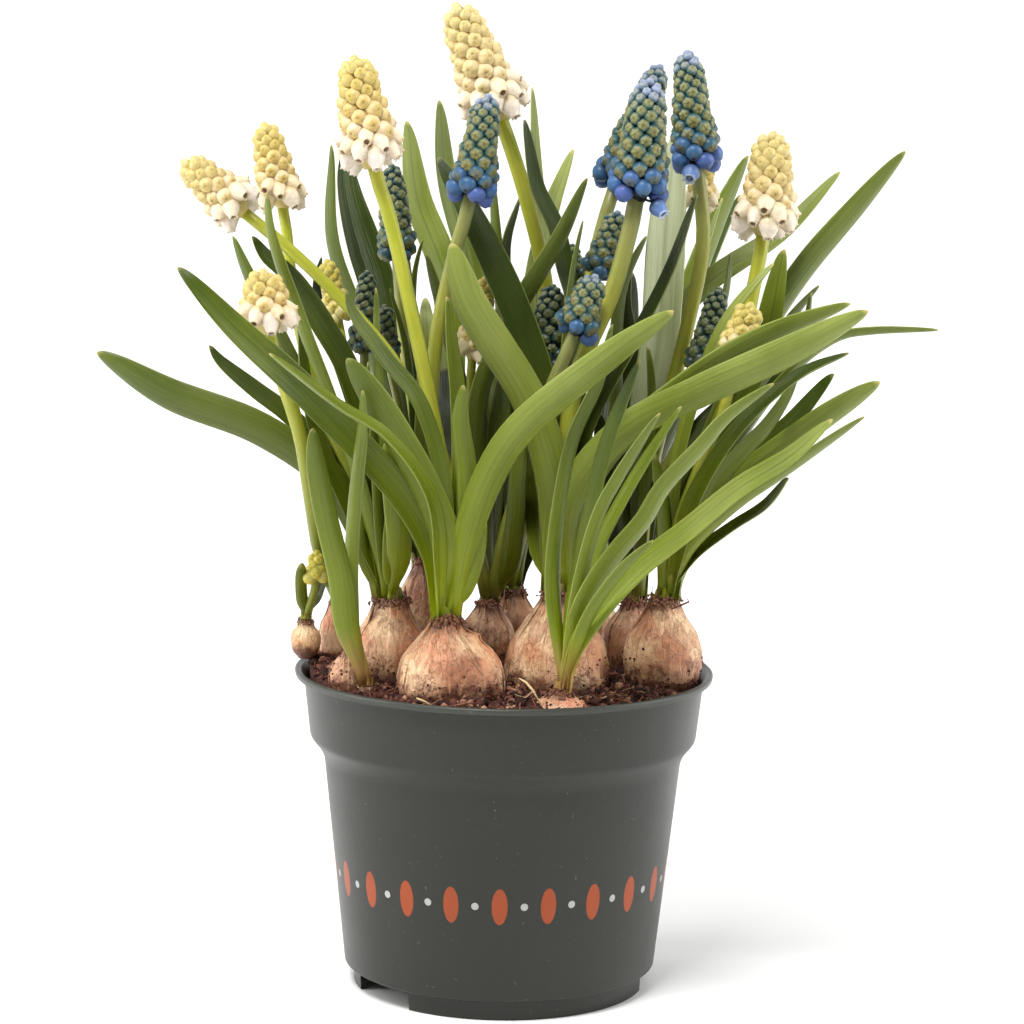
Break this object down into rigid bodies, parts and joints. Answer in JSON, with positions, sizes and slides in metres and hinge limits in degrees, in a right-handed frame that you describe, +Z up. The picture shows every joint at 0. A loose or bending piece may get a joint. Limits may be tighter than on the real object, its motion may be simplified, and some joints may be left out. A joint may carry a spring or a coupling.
{
  "type": "potted grape hyacinths",
  "caption": "Round nursery pot of surface bulbs, with strap leaves and dense spikes of small blue and white flowers.",
  "frame": {"origin": "on the pot's axis, at the surface that its foot ring stands on", "axes": "+Z up along the pot's axis, -Y towards the front of the pot, +X to the right as seen from the front"},
  "size_m": [0.2319, 0.1769, 0.2802],
  "materials": {
    "pot": "satin",
    "soil": "matte",
    "bulb": "matte",
    "greens": "satin",
    "bloom_white": "matte",
    "bloom_blue": "matte"
  },
  "bodies": {
    "root": {"bloom_blue_01": "bloom_blue", "bloom_blue_02": "bloom_blue", "bloom_blue_03": "bloom_blue", "bloom_blue_04": "bloom_blue", "bloom_blue_05": "bloom_blue", "bloom_blue_06": "bloom_blue", "bloom_blue_07": "bloom_blue", "bloom_blue_08": "bloom_blue", "bloom_blue_09": "bloom_blue", "bloom_blue_10": "bloom_blue", "bloom_blue_11": "bloom_blue", "bloom_blue_12": "bloom_blue", "bloom_blue_13": "bloom_blue", "bloom_white_01": "bloom_white", "bloom_white_02": "bloom_white", "bloom_white_03": "bloom_white", "bloom_white_04": "bloom_white", "bloom_white_05": "bloom_white", "bloom_white_06": "bloom_white", "bloom_white_07": "bloom_white", "bloom_white_08": "bloom_white", "bloom_white_09": "bloom_white", "bloom_white_10": "bloom_white", "bloom_white_11": "bloom_white", "bulb_back_left": "bulb", "bulb_back_middle": "bulb", "bulb_back_right": "bulb", "bulb_brown_left": "bulb", "bulb_brown_middle": "bulb", "bulb_front_far_left": "bulb", "bulb_front_left": "bulb", "bulb_front_small": "bulb", "bulb_left": "bulb", "bulb_left_pale": "bulb", "bulb_middle": "bulb", "bulb_papery_right": "bulb", "bulb_pink_left": "bulb", "bulb_right": "bulb", "bulb_rim_left": "bulb", "greens_back_left": "greens", "greens_back_middle": "greens", "greens_back_right": "greens", "greens_brown_left": "greens", "greens_brown_middle": "greens", "greens_front_far_left": "greens", "greens_front_left": "greens", "greens_front_small": "greens", "greens_left": "greens", "greens_left_pale": "greens", "greens_middle": "greens", "greens_papery_right": "greens", "greens_right": "greens", "greens_rim_left": "greens", "pot": "pot", "soil": "soil"}
  },
  "joints": []
}
